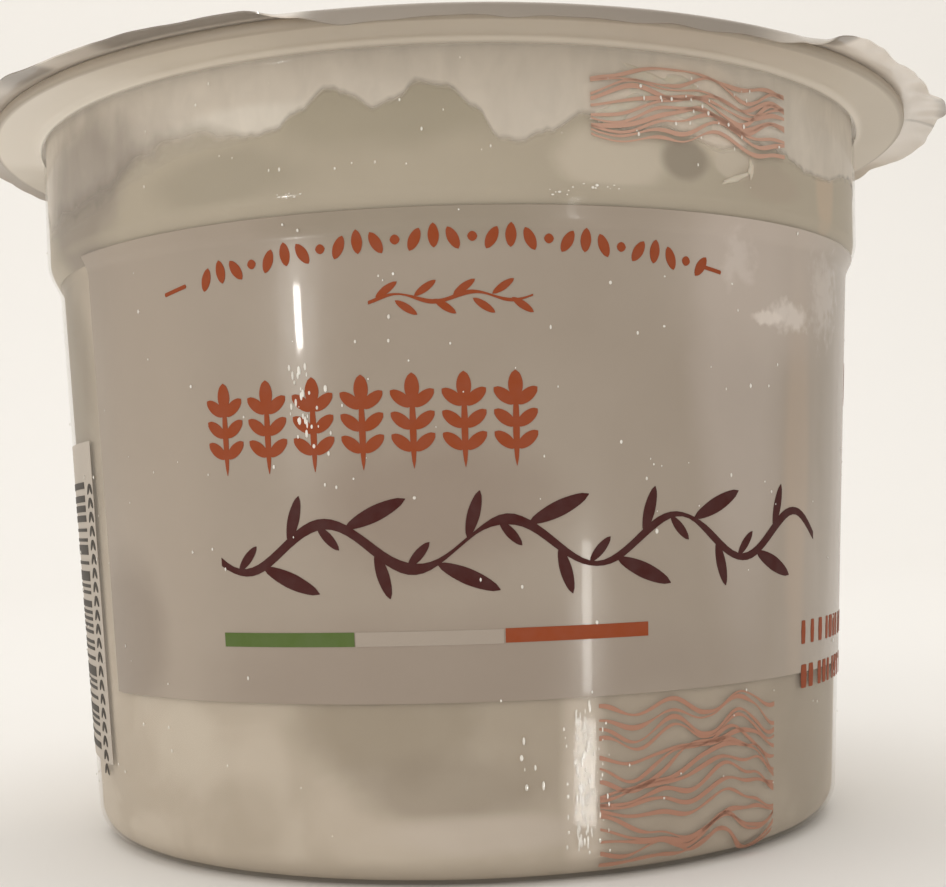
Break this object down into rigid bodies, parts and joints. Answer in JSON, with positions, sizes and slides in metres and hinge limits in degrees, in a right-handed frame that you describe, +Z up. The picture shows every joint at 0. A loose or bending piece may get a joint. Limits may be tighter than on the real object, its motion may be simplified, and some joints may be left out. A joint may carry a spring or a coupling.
{
  "type": "sealed tub of burrata in whey",
  "caption": "Sealed clear round tub with a film lid and printed sleeve, holding a ball of burrata cheese in whey.",
  "frame": {"origin": "centre of the tub's flat base, on the surface that it stands on", "axes": "+Z up, the printed front faces -Y, and the film lid's pull tab points to the right, 20 degrees forward of +X"},
  "size_m": [0.0981, 0.0974, 0.069],
  "materials": {
    "tub_plastic": "clear thermoformed polypropylene, slightly hazy, glossy",
    "lid_film": "pale peelable film, satin, creased at its edge and tab",
    "label_ink": "milky warm grey printed field with orange, maroon and green shapes",
    "cheese": "smooth wet stretched curd",
    "whey": "cloudy grey-green whey with cream in it"
  },
  "bodies": {
    "root": {"tub": "tub_plastic", "film_lid": "lid_film", "label": "label_ink", "burrata": "cheese", "whey": "whey"}
  },
  "joints": []
}
